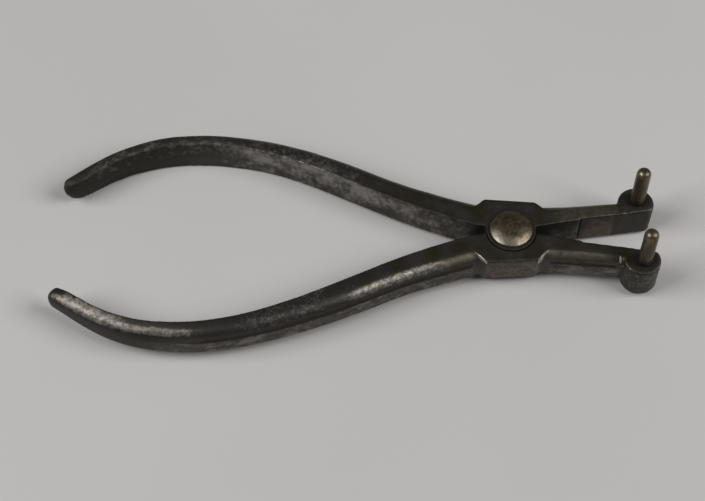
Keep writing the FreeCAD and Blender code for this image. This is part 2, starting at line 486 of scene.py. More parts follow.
for node_name in LEVERS:
    skin = Skin(node_name)
    piece = skin.piece
    rounding = skin.either(REAR_ROUNDING, FRONT_ROUNDING)
    grip = ramp(skin.x, GRIP_WORN_FROM, GRIP_WORN_FROM - WORN_RUN) * ramp(skin.outward, *rounding.worn_lean)
    grip *= ramp(skin.z, *WORN_HEIGHT) * ramp(skin.x, *rounding.nose_spared) ** rounding.spared_power
    block = ramp(np.abs(skin.x), *BLOCK_WORN_ALONG) * ramp(skin.off_middle, *BLOCK_WORN_OUT)
    block *= ramp(skin.z, *BLOCK_WORN_HEIGHT)
    corner = skin.points[np.argmax(skin.x * rounding.corner_way[0] + skin.y * rounding.corner_way[1])]
    from_corner = np.hypot(skin.x - corner[0], skin.y - corner[1])
    weigh(piece, "rounder", np.maximum(grip, block))
    weigh(piece, "nose", ramp(skin.x, NOSE_START + NOSE_RUN, NOSE_START))
    weigh(piece, "nose_corner", ramp(from_corner, CORNER_REACH, 0.0) ** 3)
    weigh(piece, "palm", grip * ramp(skin.x, PALM_WORN_FROM, PALM_WORN_FROM - WORN_RUN))
    smooth(piece, WORN_STEPS, "rounder")
    smooth(piece, rounding.nose_steps, "nose")
    smooth(piece, rounding.corner_steps, "nose_corner")
    smooth(piece, rounding.palm_steps, "palm")
    piece.vertex_groups.clear()
    print(piece.name, "rounded")

# %% [markdown]
# The flash ridge is a step: above the middle of the thickness the outer side was ground
# back by about 0.3 mm, and below it the trimmed flash was left rough. The inner wall of
# each jaw has a milled pad that starts at a fine groove. These places are put in vertex
# groups and moved by a Displace modifier, which needs no new edges. The block round the
# pivot and the boss at the tip were ground clean, so they are left out; the block only
# leans in a little towards its foot. The whole skin then gets the slow waves of hand
# grinding, except the flat underside and the joint, where the levers slide.

# %% Flash ridge, groove and waves
RIDGE_WALL = (0.45, 0.8)
FLASH_HEIGHT = 7.6           # above the underside
FLASH_BORDER = 0.4
FLASH_START = -100.0         # beyond this the grip was polished all round
FLASH_FADE = 12.0
GROUND_UP_TO = 10.5
GROUND_DEPTH = 0.30 * MM
ROUGH_DEPTH = 0.16 * MM
CLEAN_BORDER = 2.0
GROOVE_X = 23.9
GROOVE_HALF = 0.55
GROOVE_DEPTH = 0.35 * MM
UNDERCUT_HEIGHT = (3.6, 0.4)
UNDERCUT_BORDER = 1.0
UNDERCUT_DEPTH = 1.2 * MM
OFF_UNDERSIDE = (-0.7, -0.3)
OFF_JOINT = (10.5, 18.5)
WAVE_DEPTH = 0.22 * MM
ripple = lumps("flash_ripple", 1.6 * MM)
wave = lumps("forging_wave", 9.0 * MM)

for node_name in LEVERS:
    skin = Skin(node_name)
    piece = skin.piece
    ridge_wall = ramp(skin.outward, *RIDGE_WALL)
    clear = ramp(np.abs(skin.x), BLOCK_HALF, BLOCK_HALF + CLEAN_BORDER)
    clear *= ramp(skin.x, BOSS_START, BOSS_START - CLEAN_BORDER)
    clear *= ramp(skin.x, FLASH_START - FLASH_FADE, FLASH_START)
    above = ramp(skin.z, FLASH_HEIGHT, FLASH_HEIGHT + FLASH_BORDER)
    above *= ramp(skin.z, GROUND_UP_TO, FLASH_HEIGHT)
    below = ramp(skin.z, FLASH_HEIGHT + FLASH_BORDER, FLASH_HEIGHT)
    foot = ramp(np.abs(skin.x), BLOCK_HALF, BLOCK_HALF - UNDERCUT_BORDER)
    foot *= ramp(skin.off_middle, BLOCK_OUTSIDE - UNDERCUT_BORDER, BLOCK_OUTSIDE)
    foot *= ramp(skin.z, *UNDERCUT_HEIGHT)
    weigh(piece, "ground", ridge_wall * clear * above)
    weigh(piece, "rough", ridge_wall * clear * below)
    weigh(piece, "undercut", ridge_wall * foot)
    weigh(piece, "groove", skin.inner * ramp(np.abs(skin.x - GROOVE_X), GROOVE_HALF, 0.0))
    weigh(piece, "free", ramp(skin.from_pivot, *OFF_JOINT) * ramp(skin.up, *OFF_UNDERSIDE))
    press(piece, "undercut", -UNDERCUT_DEPTH, middle=0.0)
    press(piece, "ground", -GROUND_DEPTH, middle=0.0)
    press(piece, "groove", -GROOVE_DEPTH, middle=0.0)
    press(piece, "rough", ROUGH_DEPTH, ripple)
    press(piece, "free", WAVE_DEPTH, wave)
    piece.vertex_groups.clear()
    print(piece.name, "ridge, groove and waves done")

# %% [markdown]
# Wear follows shape: a high edge is rubbed bright, and a hollow keeps its dirt. How far
# a point stands out from the middle of its neighbours says which it is. That is worked
# out once for the whole skin, smoothed a little, and stored on the mesh, so that the
# material only has to read it.

# %% Where the edges are
EDGE_FULL = 0.045            # millimetres that a rounded edge stands out from its neighbours


def standing_out(piece):
    """How far each point stands out of its neighbourhood, in millimetres, after smoothing."""
    points, normals = points_and_normals(piece)
    ends = np.empty(2 * len(piece.data.edges), np.int32)
    piece.data.edges.foreach_get("vertices", ends)
    first, second = ends.reshape(-1, 2).T
    count = np.bincount(ends, minlength=len(points)).astype(np.float64)

    def average(values):
        total = np.zeros(len(points))
        np.add.at(total, first, values[second])
        np.add.at(total, second, values[first])
        return total / count

    middle = np.stack([average(points[:, axis]) for axis in range(3)], axis=1)
    out = ((points - middle) * normals).sum(axis=1)
    return 0.5 * out + 0.5 * average(out)


relief = {}
for node_name, piece in forgings.items():
    out = standing_out(piece)
    relief[node_name] = out / EDGE_FULL
    print(piece.name, "sharpest edge stands out", round(float(out.max()), 3), "mm")

# %% [markdown]
# The rest of the wear goes by place, and each kind is one function that gives a number
# from 0 to 1 for every point; the material breaks these up later. Hands come first. The
# inner walls of the grips, where fingers slide, are rubbed to a cloudy grey in their
# upper half. The rounded shoulder of the front lever is polished by the palm in two long
# patches, one at each end of the curve; at the end of the grip the patch spreads onto the
# flat top as a painted highlight. A faint sheen on the shoulders near the block is a
# painted highlight too. The ends of the grips and the walls of the bosses are darker. A
# number before a mask says how strong the wear is there.

# %% Rubbed, polished and dark places
# Outward and up leans of faces
OUTER_WALL = (0.3, 0.7)
SHOULDER_OUT = (0.05, 0.25)  # the shoulder lies between the top and the outer wall
SHOULDER_UP = (0.2, 0.5)
SHOULDER_NOT_TOP = (0.995, 0.95)
CREST_UP = (0.38, 0.68)
CREST_NOT_TOP = (0.99, 0.92)
SHEEN_UP = (0.35, 0.65)
TOP_UP = (0.7, 0.95)
JAW_TOP_UP = (0.8, 0.95)
DARK_TOP_UP = (0.4, 0.8)
LAST_OUT = (-0.04, 0.10)
# Heights above the underside
RUBBED_HEIGHT = (2.5, 9.0)
REAR_END_HEIGHT = (6.5, 9.5)
# Stretches along the tool
MILLED_END = 35.6            # where the milled pad of a jaw ends
UNMILLED = (MILLED_END, MILLED_END + 0.4)
BOSS_RUBBED = (BOSS_START, BOSS_START + 2.0)
BOSS_DARK = (BOSS_START - 1.0, BOSS_START + 1.0)
GRIP_WALL = (-92.0, -17.0, 14.0)
GRIP_TOP = (-84.0, -58.0, 12.0)
JAW_WALL = (16.0, 22.5, 4.0)
REAR_GRIP_END = (-142.0, -104.0, 12.0)
REAR_JAW_BACK = (13.0, 36.0, 4.0)
JAW_SHOULDER = (15.0, 30.0, 6.0)
REAR_JAW_TOP = (18.0, 33.0, 7.0)
FRONT_ARM = (-30.0, -15.0, 6.0)
PALM_PATCH = (-48.0, -30.0, 13.0)
PALM_END = (-96.0, -118.0)
PALM_LAST = (-120.0, -138.0)
NOSE_LESS_RUBBED = (-154.0, -146.0)
DARK_END_OUTER = (-108.0, -122.0)
DARK_END_INNER = (-102.0, -122.0)
DARK_END_TOP = (-92.0, -120.0)
MATTE_END = (-88.0, -104.0)


def outer(skin):
    """Walls that look away from the other lever."""
    return ramp(skin.outward, *OUTER_WALL)


def crest(skin):
    """The middle of the rounded shoulder, which a palm touches first."""
    return ramp(skin.up, *CREST_UP) * ramp(skin.up, *CREST_NOT_TOP) * ramp(skin.outward, *SHOULDER_OUT)


def bare(skin):
    """Oxide worn off in clouds: most on the grips' inner walls, some on tops and jaws."""
    worn = skin.inner * strip(skin.x, *GRIP_WALL) * (0.48 + 0.26 * ramp(skin.z, *RUBBED_HEIGHT))
    worn += ramp(skin.up, *TOP_UP) * (0.12 + skin.either(0.26, 0.08) * strip(skin.x, *GRIP_TOP))
    worn += 0.2 * outer(skin) * ramp(skin.x, *BOSS_RUBBED)
    worn += 0.3 * skin.inner * strip(skin.x, *JAW_WALL)
    if skin.rear:
        worn += 0.06 * ramp(skin.z, *REAR_END_HEIGHT) * strip(skin.x, *REAR_GRIP_END)
        worn += 0.3 * outer(skin) * strip(skin.x, *REAR_JAW_BACK)
    return worn


def sheen(skin):
    """A painted highlight: a faint olive sheen on the shoulders near the block, and the same colour on the
    top of the rear jaw.
    """
    shoulder = ramp(skin.up, *SHOULDER_UP) * ramp(skin.up, *SHOULDER_NOT_TOP)
    shoulder *= ramp(skin.outward, *SHOULDER_OUT)
    jaw = shoulder * ramp(skin.up, *SHEEN_UP) * strip(skin.x, *JAW_SHOULDER)
    rear_top = 0.8 * ramp(skin.up, *JAW_TOP_UP) * strip(skin.x, *REAR_JAW_TOP)
    front_arm = 0.7 * crest(skin) * strip(skin.x, *FRONT_ARM)
    return jaw + skin.either(rear_top, front_arm)


def shade(skin):
    """Darker places: the walls of the bosses, the jaw walls beyond the pads and the ends of the grips."""
    dark = outer(skin) * ramp(skin.x, *BOSS_DARK) + 0.6 * skin.inner * ramp(skin.x, *UNMILLED)
    dark += outer(skin) * ramp(skin.x, *DARK_END_OUTER) + skin.inner * ramp(skin.x, *DARK_END_INNER)
    return dark + 0.75 * skin.rear * ramp(skin.up, *DARK_TOP_UP) * ramp(skin.x, *DARK_END_TOP)


def palm(skin):
    """The patch at the end of the grip, a little duller than the other one; on the flat top it is a painted
    highlight.
    """
    # where the patch spreads onto the flat top it is a painted highlight
    flat_top_highlight = ramp(skin.up, *SHOULDER_UP) * ramp(skin.outward, *LAST_OUT) * ramp(skin.x, *PALM_LAST)
    along = ramp(skin.x, *PALM_END) * (0.45 + 0.55 * ramp(skin.x, *NOSE_LESS_RUBBED))
    return np.maximum(crest(skin), flat_top_highlight) * along


def shine(skin):
    """Both polished patches; the rear lever has only a trace of them."""
    patches = np.maximum(crest(skin) * strip(skin.x, *PALM_PATCH), palm(skin))
    return skin.either(0.2, 1.0) * 1.1 * patches


def matte(skin):
    """Where the surface scatters more: the end patch, and the rear grip's worn edge."""
    return palm(skin) + skin.rear * ramp(skin.x, *MATTE_END) * ramp(skin.z, *WORN_HEIGHT)


print("masks for rubbed places ready")

# %% [markdown]
# Then come the marks of making. Below the ridge the flash stayed rough and brownish. The
# pads of the jaws were milled, and so was the side of the block. The small corner facets
# of the block carry a painted highlight, and so does one spot beside the front boss. The
# grips are blacked to nearly one tone, and their walls are browner.

# %% Marks of making
FLASH_BELOW = (FLASH_HEIGHT + 0.3, FLASH_HEIGHT - 0.2)
FLASH_UP = (0.35, 0.1)
FLASH_OFF_BLOCK = (BLOCK_HALF, BLOCK_HALF + 1.0)
FLASH_TO_BOSS = (BOSS_START + 1.0, BOSS_START - 1.0)
FLASH_FROM_GRIP = (FLASH_START - 28.0, FLASH_START)
PAD_BORDER = 0.3
BLOCK_SIDE = (-8.6, 8.6, 1.5)
BLOCK_SIDE_HEIGHT = (12.3, 11.5)
FACET_FROM_PIVOT = (8.8, 11.6, 0.5)    # along the tool, to either side
FACET_OFF_MIDDLE = (7.5, 9.0)
FACET_ALONG = (0.3, 0.6)     # how far its face looks along the tool
FACET_OUT = (0.1, 0.3)
FACET_HEIGHT = (9.2, 10.6)
FACET_GRIP_HEIGHT = (10.8, 11.8)       # on the side of the grips only the top is bright
GLINT_SPOT = (36.1, -10.4, 11.0)
GLINT_SPOT_NARROW = 2.2           # the painted glint is this many times narrower along the tool
GLINT_SPOT_REACH = (2.2, 1.1)
WALL_UP = (0.5, 0.2)
BLACKED_GRIP = (-30.0, -60.0)


def flash(skin):
    """The rough band below the ridge, between the boss, the block and the polished grip."""
    band = outer(skin) * ramp(skin.z, *FLASH_BELOW) * ramp(skin.up, *FLASH_UP)
    band *= ramp(np.abs(skin.x), *FLASH_OFF_BLOCK) * ramp(skin.x, *FLASH_TO_BOSS)
    return band * ramp(skin.x, *FLASH_FROM_GRIP)


def milled(skin):
    """The pad of the jaw, and the side of the block."""
    side = 0.75 * outer(skin) * strip(skin.x, *BLOCK_SIDE) * ramp(skin.z, *BLOCK_SIDE_HEIGHT)
    return skin.inner * strip(skin.x, GROOVE_X, MILLED_END, PAD_BORDER) + side


def facet(skin):
    """Painted highlights on the corner facets of the block and on one spot beside the front boss."""
    facet_glint = strip(np.abs(skin.x), *FACET_FROM_PIVOT) * ramp(skin.off_middle, *FACET_OFF_MIDDLE)
    facet_glint *= ramp(np.abs(skin.normals[:, 0]), *FACET_ALONG) * ramp(skin.outward, *FACET_OUT)
    facet_glint *= ramp(skin.z, *FACET_HEIGHT) * np.where(skin.x > 0, 1.0, ramp(skin.z, *FACET_GRIP_HEIGHT))
    along = GLINT_SPOT_NARROW * (skin.x - GLINT_SPOT[0])
    from_glint_spot = np.hypot(np.hypot(along, skin.y - GLINT_SPOT[1]), skin.z - GLINT_SPOT[2])
    return np.maximum(facet_glint, ramp(from_glint_spot, *GLINT_SPOT_REACH))


def wall(skin):
    """All that is upright, where the oxide is a little browner."""
    return ramp(np.abs(skin.up), *WALL_UP)


def blacked(skin):
    """The grips, which were blacked to nearly one tone."""
    return 0.85 * ramp(skin.x, *BLACKED_GRIP)


print("masks for marks of making ready")

# %% [markdown]
# Old dirt sits round the pins. Painted shade darkens the ring round the rivet, the narrow
# joint, a band just above the ridge, and the groove and the end of each jaw's pad. Edges
# that hands reach are bright. The tops have specks of bare metal where rust was rubbed
# away, the bosses are mottled all over, and the rear grip has larger brown spots.

# %% Dirt, painted shade, edges, specks and spots
STAIN_REACH = (6.4, 8.0)     # how far dirt spreads round the rear and the front pin
STAIN_FULL = 3.0
STAIN_HEIGHT = (11.0, 12.5)
RING_R = 8.2
RING_WIDTH = (1.5, 0.7)
RING_HEIGHT = (11.0, 12.0)
JOINT_REACH = (17.0, 10.0)
JOINT_UP = (0.6, 0.3)
JOINT_OUT = (0.3, 0.0)
LEDGE_HEIGHT = (FLASH_HEIGHT + 0.5, FLASH_HEIGHT + 1.8, 0.6)
LEDGE_OFF_BLOCK = (11.0, 14.0)
LEDGE_TO_BOSS = (BOSS_START + 1.0, BOSS_START - 2.0)
LEDGE_FROM_GRIP = (FLASH_START - FLASH_FADE, FLASH_START + 6.0)
GROOVE_SHADE_WIDTH = (0.6, 0.1)
PAD_END_SHADE_WIDTH = (0.4, 0.1)
EDGE_OUT = (0.3, -0.2)
EDGE_HEIGHT = (9.0, 11.5)
HANDLED_EDGE = (-88.0, -24.0, 10.0)
REAR_JAW_EDGE = (26.0, 60.0, 4.0)
FRONT_BOSS_EDGE = (46.5, 60.0, 1.0)
SPECKLED_UP = (0.3, 0.5)
SPECKLED_TOP = (-86.0, -66.0, 9.0)
SPECKLED_HEIGHT = (6.0, 9.0)
SPECKLED_END = (-140.0, -102.0, 8.0)
SPECKLED_BOSS = (BOSS_START - 4.0, BOSS_START + 2.0)
SPOTTED_HEIGHT = (5.0, 9.0)
SPOTTED_END = (-136.0, -92.0, 14.0)


def box_of(name):
    """Lowest and highest corner of a node, in millimetres."""
    low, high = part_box(name)
    return low / MM, high / MM


def upright_axis(name):
    """Where an upright round node stands, along X and Y in millimetres."""
    low, high = box_of(name)
    return 0.5 * (low[0] + high[0]), 0.5 * (low[1] + high[1])


def grime(skin):
    """Dirt round the pin; painted shade round the rivet, in the joint, above the ridge and by the pad."""
    pin_x, pin_y = upright_axis(skin.either("pin_rear", "pin_front"))
    from_pin = np.hypot(skin.x - pin_x, skin.y - pin_y)
    stain = ramp(from_pin, skin.either(*STAIN_REACH), STAIN_FULL) * ramp(skin.z, *STAIN_HEIGHT)
    # painted shade: the ring round the rivet, the narrow joint, a band above the ridge, the groove and the
    # pad's end
    ring_shade = ramp(np.abs(skin.from_pivot - RING_R), *RING_WIDTH) * ramp(skin.z, *RING_HEIGHT)
    joint_shade = ramp(skin.from_pivot, *JOINT_REACH) * ramp(skin.up, *JOINT_UP) * ramp(skin.outward, *JOINT_OUT)
    ledge_shade = outer(skin) * strip(skin.z, *LEDGE_HEIGHT) * ramp(np.abs(skin.x), *LEDGE_OFF_BLOCK)
    ledge_shade *= ramp(skin.x, *LEDGE_TO_BOSS) * ramp(skin.x, *LEDGE_FROM_GRIP)
    pad_end_shade = ramp(np.abs(skin.x - GROOVE_X), *GROOVE_SHADE_WIDTH)
    pad_end_shade += 0.5 * ramp(np.abs(skin.x - MILLED_END), *PAD_END_SHADE_WIDTH)
    jaw = skin.inner * np.maximum(pad_end_shade, 0.42 * ramp(skin.x, *UNMILLED))
    return np.maximum.reduce([0.85 * stain, 0.8 * ring_shade, 0.75 * joint_shade, 0.8 * ledge_shade, jaw])


def edge(skin):
    """High edges on the upper side, brightest where the tool is held."""
    handled = 0.05 + 0.34 * strip(skin.x, *HANDLED_EDGE) * ramp(skin.outward, *EDGE_OUT)
    handled += skin.either(0.28 * strip(skin.x, *REAR_JAW_EDGE), 0.5 * strip(skin.x, *FRONT_BOSS_EDGE))
    return relief[skin.name] * handled * ramp(skin.z, *EDGE_HEIGHT)


def hollow(skin):
    """Places lower than their neighbours."""
    return -0.8 * relief[skin.name]


def speckled(skin):
    """Fine bright specks, on the tops of the grips and over the bosses."""
    specks = skin.either(0.8, 0.45) * strip(skin.x, *SPECKLED_TOP) * ramp(skin.up, *SPECKLED_UP)
    specks += 0.2 * skin.rear * ramp(skin.z, *SPECKLED_HEIGHT) * strip(skin.x, *SPECKLED_END)
    specks += skin.either(0.3, 0.55) * ramp(skin.x, *SPECKLED_BOSS)
    return specks + 0.3 * outer(skin) * strip(skin.x, *BLOCK_SIDE)


def spotted(skin):
    """Larger brown spots towards the end of the rear grip."""
    return skin.rear * ramp(skin.z, *SPOTTED_HEIGHT) * strip(skin.x, *SPOTTED_END)


MARKS = {"bare": bare, "sheen": sheen, "shade": shade, "palm": palm, "shine": shine, "matte": matte,
         "flash": flash, "milled": milled, "facet": facet, "wall": wall, "blacked": blacked,
         "grime": grime, "edge": edge, "hollow": hollow, "speckled": speckled, "spotted": spotted}

for node_name in LEVERS:
    skin = Skin(node_name)
    for name, mask in MARKS.items():
        paint(skin.piece, name, mask(skin))
    print(skin.piece.name, "has", len(MARKS), "kinds of mark")

# %% [markdown]
# Patinated steel is still metal: what looks like a dark colour is mostly a dim
# reflection. So the base colour is that of the oxide, olive brown to grey, the surface
# stays metallic, and roughness tells the worn metal from the matt oxide. Several sizes
# of noise do the rest: clouds a few millimetres wide for the rubbed patches, a finer one
# that frays their borders, streaks that follow the length of the tool, and specks under
# a millimetre for pits and for the small bright nicks of a life in a pocket. The pair in
# each between(...) says where a colour starts and where it covers fully; the pairs were
# set against the picture.

# %% Material of the levers
CLOUD_SIZE = 7.0 * MM
TINT_SIZE = 11.0 * MM
BLOT_SIZE = 1.9 * MM
FRAY_SIZE = 1.6 * MM
STREAK_SIZE = 1.1 * MM
GRAIN_SIZE = 0.7 * MM
STREAK_TURN = (0.0, 0.0, 0.3)
STREAK_STRETCH = (0.2, 1.0, 0.7)
BUMP_STRENGTH = 0.14
BUMP_HEIGHT = 0.1 * MM
OXIDE_OLIVE = (0.050, 0.042, 0.028, 1.0)
OXIDE_GREY = (0.066, 0.063, 0.054, 1.0)
OXIDE_BROWN = (0.068, 0.056, 0.045, 1.0)
OXIDE_BLACK = (0.050, 0.049, 0.045, 1.0)
OXIDE_SHADE = (0.034, 0.030, 0.025, 1.0)
STEEL_CLOUDY = (0.135, 0.127, 0.117, 1.0)
STEEL_DULL = (0.290, 0.272, 0.252, 1.0)
OLIVE_SHEEN_HIGHLIGHT = (0.125, 0.108, 0.082, 1.0)
STEEL_RUBBED = (0.285, 0.263, 0.238, 1.0)
STEEL_WARM = (0.27, 0.232, 0.175, 1.0)
STEEL_BRIGHT = (0.62, 0.57, 0.50, 1.0)
FACET_GLINT_TONE = (0.52, 0.475, 0.39, 1.0)
PALM_GREY = (0.24, 0.217, 0.199, 1.0)
SPOT_BROWN = (0.116, 0.099, 0.090, 1.0)
PITTED = (0.085, 0.077, 0.068, 1.0)
FLASH_DARK = (0.044, 0.039, 0.034, 1.0)
FLASH_LIGHT = (0.120, 0.108, 0.098, 1.0)
FLASH_RUST = (0.100, 0.070, 0.056, 1.0)
FLASH_SCRAPED = (0.205, 0.190, 0.172, 1.0)
MILLED_GREY = (0.145, 0.119, 0.105, 1.0)
MILLED_BROWN = (0.086, 0.063, 0.052, 1.0)
DIRT_AND_SHADE_BLACK = (0.016, 0.013, 0.010, 1.0)


def forged_steel():
    """Dark oxide with rubbed patches, polished shoulders, rough flash, specks and dirt."""
    material, tree, shader, place = new_material("forged_steel")
    along = node(tree, "ShaderNodeMapping", {}, place, None, STREAK_TURN, STREAK_STRETCH)
    clouds = noise(tree, place, CLOUD_SIZE)
    tint = noise(tree, place, TINT_SIZE)
    blots = noise(tree, place, BLOT_SIZE, detail=2.0)
    fray = noise(tree, place, FRAY_SIZE, detail=4.0, roughness=0.6)
    streaks = noise(tree, along, STREAK_SIZE, roughness=0.6)
    grain = noise(tree, place, GRAIN_SIZE, roughness=0.6)
    cloudy = clouds - 0.5
    frayed = fray - 0.5
    streaked = streaks - 0.5
    mark = SimpleNamespace(**{name: painted(tree, name) for name in MARKS})

    rubbed = (mark.bare + 1.1 * cloudy + 0.9 * frayed + 0.3 * streaked).between(0.25, 1.0)
    polish = (mark.shine + 0.7 * cloudy + 1.1 * frayed + 0.5 * streaked).between(0.25, 1.05)
    # painted highlight: the sheen along the shoulders near the block
    painted_sheen_cover = (mark.sheen * (2.4 * fray - 0.2) + 0.5 * cloudy).between(0.1, 1.1)
    shaded = (mark.shade + 0.8 * cloudy).between(0.2, 0.9) * 0.8
    # painted highlight on the block's facets and on one spot beside the front boss
    facet_glint = (mark.facet + 0.5 * frayed).between(0.35, 0.75)
    rim = (mark.edge + 0.6 * frayed).between(0.30, 0.85)
    specks = (0.5 * grain + 0.5 * fray + 0.22 * (tint - 0.5)).between(0.50, 0.66)
    specks = specks * mark.speckled * (1 - mark.flash)
    spots = (0.7 * blots + 0.3 * fray).between(0.50, 0.65) * mark.spotted
    scraped = (0.5 * clouds + 0.3 * streaks + 0.2 * fray).between(0.49, 0.60)
    pitted = (0.6 * grain + 0.4 * fray).between(0.42, 0.58)
    pits = (0.6 * fray + 0.4 * grain).between(0.40, 0.32) * mark.bare * 0.8
    # dirt, pits and hollows, with the painted shade of the rivet's ring, the joint, the ledge and the pad's
    # ends
    dirt_and_shade_cover = (mark.grime + mark.hollow * 0.6 + 1.2 * frayed * mark.grime).between(0.15, 0.95).most(pits)

    oxide = layered(tree, OXIDE_OLIVE,
                    (clouds.between(0.35, 0.65), OXIDE_GREY),
                    (tint.between(0.46, 0.64) * mark.wall, OXIDE_BROWN),
                    (mark.blacked, OXIDE_BLACK),
                    (shaded, OXIDE_SHADE),
                    (painted_sheen_cover, OLIVE_SHEEN_HIGHLIGHT))
    rough_flash = layered(tree, FLASH_DARK,
                          ((0.5 * grain + 0.5 * streaks).between(0.42, 0.62), FLASH_LIGHT),
                          (fray.between(0.52, 0.66) * 0.7, FLASH_RUST),
                          (0.7 * scraped, FLASH_SCRAPED))
    dull = layered(tree, STEEL_CLOUDY, ((0.5 * clouds + 0.5 * fray).between(0.40, 0.62), STEEL_DULL))
    pad = layered(tree, MILLED_BROWN,
                  ((0.5 * fray + 0.5 * streaks).between(0.40, 0.60), MILLED_GREY),
                  (0.55 * clouds.between(0.50, 0.66), FLASH_DARK))
    polished = layered(tree, STEEL_RUBBED,
                       (tint.between(0.45, 0.6), STEEL_WARM),
                       (mark.palm * 0.8, PALM_GREY))
    polished = blend_colours(tree, 0.2 + 0.8 * pitted, PITTED, polished)
    colour = layered(tree, oxide,
                     (rubbed, dull),
                     (0.9 * mark.milled, pad),
                     (polish, polished),
                     (0.8 * spots, SPOT_BROWN),
                     (0.7 * specks, STEEL_DULL),
                     (mark.flash, rough_flash),
                     (rim, STEEL_BRIGHT),
                     (facet_glint, FACET_GLINT_TONE),
                     (dirt_and_shade_cover, DIRT_AND_SHADE_BLACK))
    rough = 0.43 + 0.12 * frayed - 0.08 * polish + 0.18 * mark.matte + 0.12 * mark.flash + 0.2 * dirt_and_shade_cover
    metallic = 0.90 + 0.1 * rubbed - 0.25 * mark.flash - 0.3 * dirt_and_shade_cover
    height = 0.5 * fray + 0.5 * grain
    bump = node(tree, "ShaderNodeBump", {}, BUMP_STRENGTH, BUMP_HEIGHT, None, height)
    feed(tree, shader, Base_Color=colour, Roughness=rough, Metallic=metallic, Normal=bump)
    return material


steel_material = forged_steel()
for node_name, piece in forgings.items():
    piece.data.materials.append(steel_material)
    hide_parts(node_name)
    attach(piece, "rear" if node_name == "lever_rear" else "front")
print("levers dressed")

# %% [markdown]
# The rivet and the pins are round, so they are made as on a lathe: a filled circle is
# the foot, and each step of the profile extrudes it upwards and resizes it about the
# axis. A profile is a list of (radius, height) pairs in millimetres, with the domes
# worked out by a formula. Its last ring is tiny, and is merged to one point on the axis.

# %% A lathe
LAST_RING_R = 0.02
SOFT_BELOW = math.radians(40)    # an edge under this angle is shaded smooth


def turned_piece(name, axis_x, axis_y, profile, segments):
    """Turn a profile about an upright axis, from its foot to its top on the axis."""
    bpy.ops.object.select_all(action="DESELECT")
    radius, height = profile[0]
    bpy.ops.mesh.primitive_circle_add(vertices=segments, radius=radius * MM, fill_type="NGON",
                                      location=(axis_x * MM, axis_y * MM, height * MM))
    piece = bpy.context.object
    piece.name = name
    piece.data.name = name
    bpy.ops.object.transform_apply(location=True, rotation=True, scale=True)
    bpy.ops.object.mode_set(mode="EDIT")
    bpy.ops.mesh.select_all(action="SELECT")
    for next_radius, next_height in profile[1:]:
        rise = (0.0, 0.0, (next_height - height) * MM)
        bpy.ops.mesh.extrude_region_move(TRANSFORM_OT_translate={"value": rise})
        share = next_radius / radius
        centre = (axis_x * MM, axis_y * MM, next_height * MM)
        bpy.ops.transform.resize(value=(share, share, 1.0), center_override=centre)
        radius = next_radius
        height = next_height
    bpy.ops.mesh.merge(type="CENTER")
    bpy.ops.mesh.select_all(action="SELECT")
    bpy.ops.mesh.normals_make_consistent(inside=False)
    bpy.ops.object.mode_set(mode="OBJECT")
    bpy.ops.object.shade_smooth_by_angle(angle=SOFT_BELOW)
    finish_with(piece, "SUBSURF", levels=1, render_levels=1)
    return piece


print("lathe ready")

# %% [markdown]
# The rivet was closed with a hammer: its head is a low dome, nearly flat in the middle
# and steeper towards the rim, and the blows have left it slightly uneven. A plain arc
# would be too even, so the height falls with the cube of the radius, and two Displace
# modifiers press in wide dents and then small ones. They only press inwards, so the
# head keeps its size. The tail is countersunk and flush with the underside.

# %% Rivet
TAIL_R = 6.0
TAIL_DEPTH = 2.2
SHANK_R = 4.0
HEAD_FOOT = 12.8             # the head starts a hair above the levers, which are 12.7 thick
RIM_BREAK = 0.25             # the lower edge of the rim is broken by this much
RIM_HEIGHT = 0.45
CROWN_POWER = 3.0
CROWN_RINGS = 14
CROWN_CLEAR = 0.1
RIVET_SEGMENTS = 96
DENT_SIZE = 3.2 * MM
DENT_DEPTH = 0.12 * MM
MARK_SIZE = 1.1 * MM
MARK_DEPTH = 0.06 * MM

low, high = box_of("pivot_rivet")
head_r = 0.5 * (high[0] - low[0])
crown_rise = high[2] - HEAD_FOOT - RIM_HEIGHT
profile = [(TAIL_R, low[2]), (SHANK_R, low[2] + TAIL_DEPTH), (SHANK_R, HEAD_FOOT)]
profile += [(head_r - RIM_BREAK, HEAD_FOOT), (head_r, HEAD_FOOT + RIM_BREAK)]
profile += [(head_r, HEAD_FOOT + RIM_HEIGHT)]
for step in range(1, CROWN_RINGS + 1):
    share = max(1.0 - step / CROWN_RINGS, LAST_RING_R / head_r)
    profile.append((head_r * share, high[2] - crown_rise * share ** CROWN_POWER))
rivet = turned_piece("rivet_peened", 0.0, 0.0, profile, RIVET_SEGMENTS)
height = points_and_normals(rivet)[0][:, 2]
weigh(rivet, "crown", ramp(height, HEAD_FOOT + CROWN_CLEAR, HEAD_FOOT + RIM_HEIGHT + CROWN_CLEAR))
press(rivet, "crown", DENT_DEPTH, lumps("wide_dents", DENT_SIZE), middle=1.0)
press(rivet, "crown", MARK_DEPTH, lumps("hammer_marks", MARK_SIZE), middle=1.0)
rivet.vertex_groups.clear()
print("rivet head", round(2 * head_r, 2), "mm wide,", len(rivet.data.vertices), "points")

# %% [markdown]
# Each pin is drawn rod with a rounded end and a thinner foot that is pressed into its
# boss. The dome is a little fuller than a half ball, as a file leaves it: its outline is
# a circle whose power is raised from 2 to 2.3. Rings along the stem let a slow texture
# make it slightly uneven, so that its highlight is not a ruled line.

# %% Pins
SPIGOT_R = 2.0
BOSS_TOP = 12.7
STEM_BREAK = 0.15            # the lower edge of the stem is broken by this much
STEM_STEP = 1.5
DOME_POWER = 2.3
DOME_RINGS = 12
PIN_SEGMENTS = 40
PIN_WAVE_SIZE = 3.0 * MM
PIN_WAVE = 0.06 * MM
stem_foot = BOSS_TOP + STEM_BREAK
pins = {}

